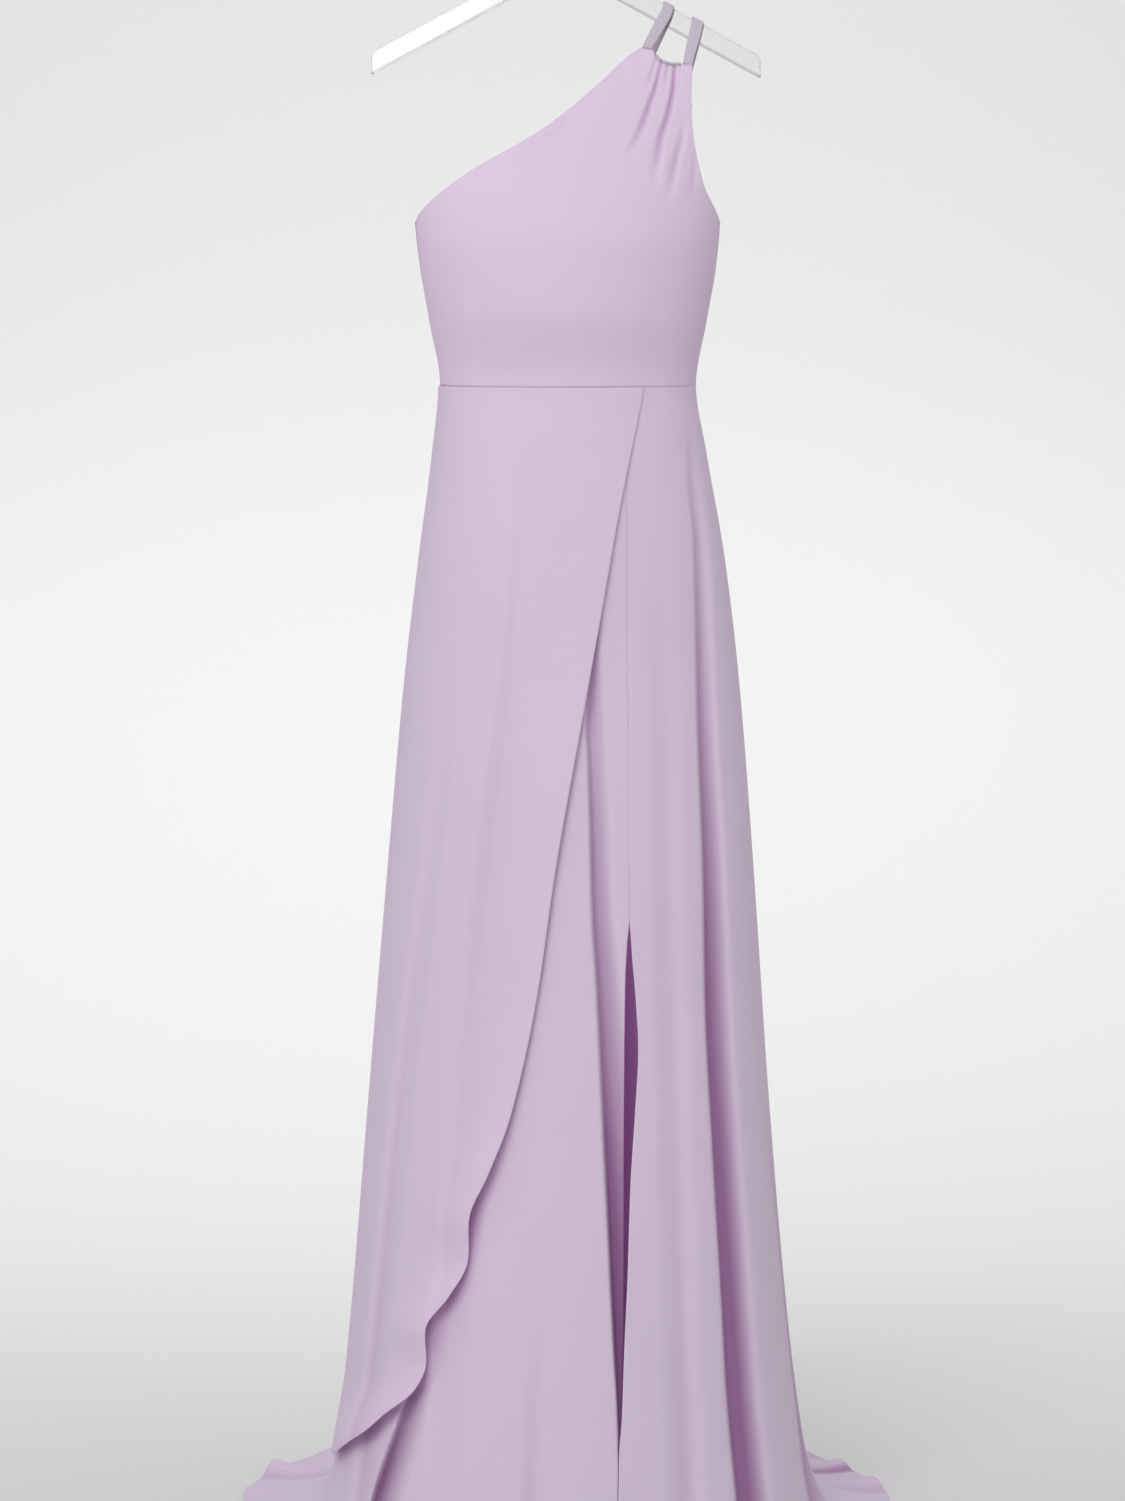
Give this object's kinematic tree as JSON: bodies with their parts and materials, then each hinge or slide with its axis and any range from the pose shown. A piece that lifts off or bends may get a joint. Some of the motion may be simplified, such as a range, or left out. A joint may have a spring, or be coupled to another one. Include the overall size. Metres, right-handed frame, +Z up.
{
  "type": "one-shoulder dress on a hanger",
  "caption": "Floor-length one-shoulder dress with a wrap skirt, a front slit and a sweep train, filled out and hung by its two shoulder straps on a clear hanger.",
  "frame": {"origin": "inner top of the hanger's hook, where a rail carries it", "axes": "+Z up, +X to the right as seen from the front, the front of the dress faces -Y"},
  "size_m": [0.6746, 0.6515, 1.6598],
  "materials": {
    "chiffon": "soft matt lilac chiffon with a faint sheen",
    "strap_cloth": "the same cloth sewn as a narrow tube",
    "clear_plastic": "clear moulded plastic",
    "hook_wire": "polished wire"
  },
  "bodies": {
    "root": {"bodice_front": "chiffon", "bodice_back": "chiffon", "neck_binding_front": "chiffon", "neck_binding_back": "chiffon", "strap_inner": "strap_cloth", "strap_outer": "strap_cloth", "skirt_overlay": "chiffon", "skirt_front_left": "chiffon", "skirt_front_right": "chiffon", "skirt_back_left": "chiffon", "skirt_back_right": "chiffon", "hanger_arms": "clear_plastic", "hanger_hook": "hook_wire"}
  },
  "joints": []
}
